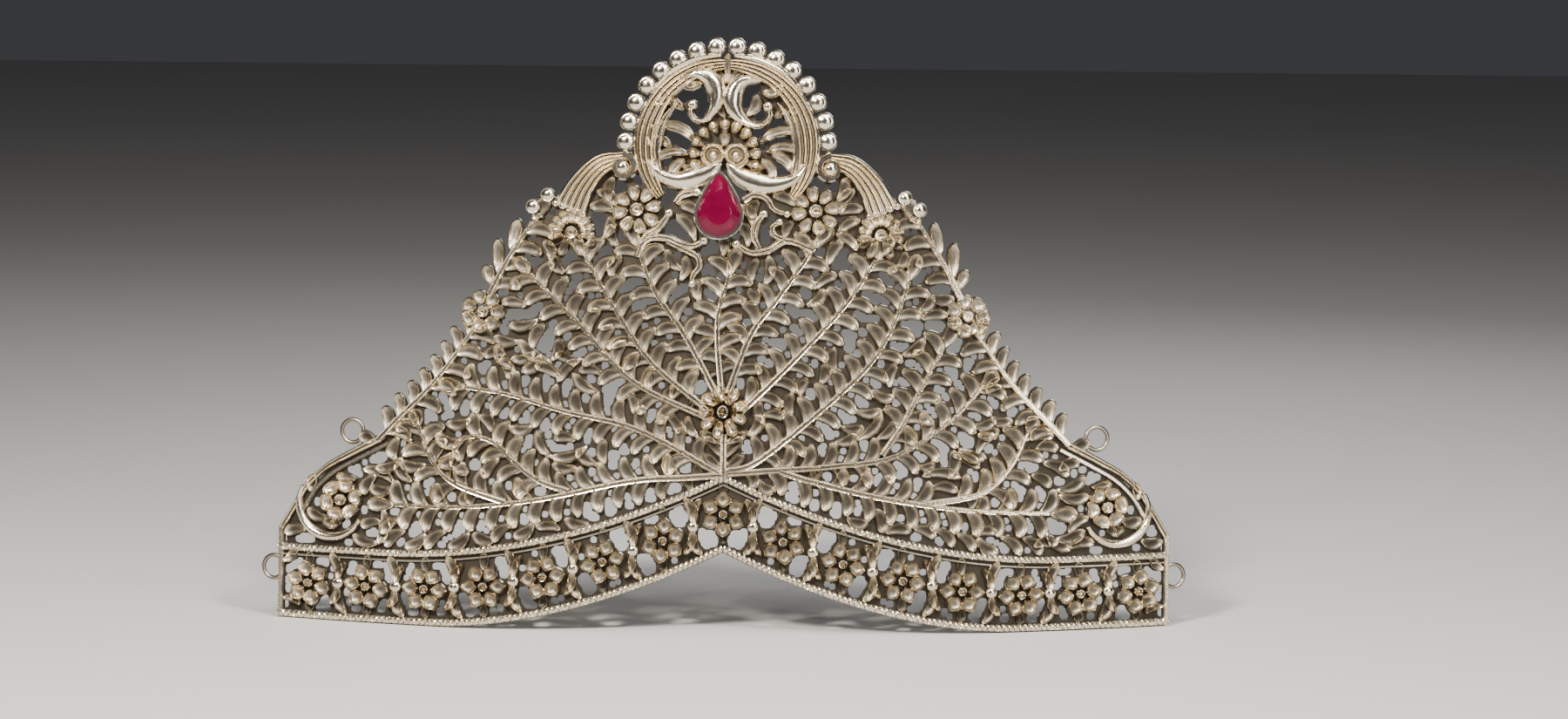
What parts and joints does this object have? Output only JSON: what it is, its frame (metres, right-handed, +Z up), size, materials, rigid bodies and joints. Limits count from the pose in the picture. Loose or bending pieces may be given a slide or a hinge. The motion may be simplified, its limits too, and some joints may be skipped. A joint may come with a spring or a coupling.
{
  "type": "openwork silver crown frontlet",
  "caption": "Bell-shaped pierced silver crown plate with leafy fronds, rope borders, a beaded crest, a red pear-shaped stone and tie rings.",
  "frame": {"origin": "on the table, under the middle of the object's box", "axes": "+X to the right seen from the front, -Y out of the decorated front, +Z up"},
  "size_m": [0.268, 0.0269, 0.1686],
  "materials": {
    "chased_silver": "chased silver, bright on the ridges, dark oxide in the recesses",
    "bezel_silver": "polished silver",
    "red_stone": "polished deep red cut stone",
    "silver_wire": "drawn silver wire, lightly worn"
  },
  "bodies": {
    "root": {"crown_plate": "chased_silver", "stone_bezel": "bezel_silver", "red_stone": "red_stone", "tie_ring_upper_left": "silver_wire", "tie_ring_upper_right": "silver_wire", "tie_ring_lower_left": "silver_wire", "tie_ring_lower_right": "silver_wire"}
  },
  "joints": []
}
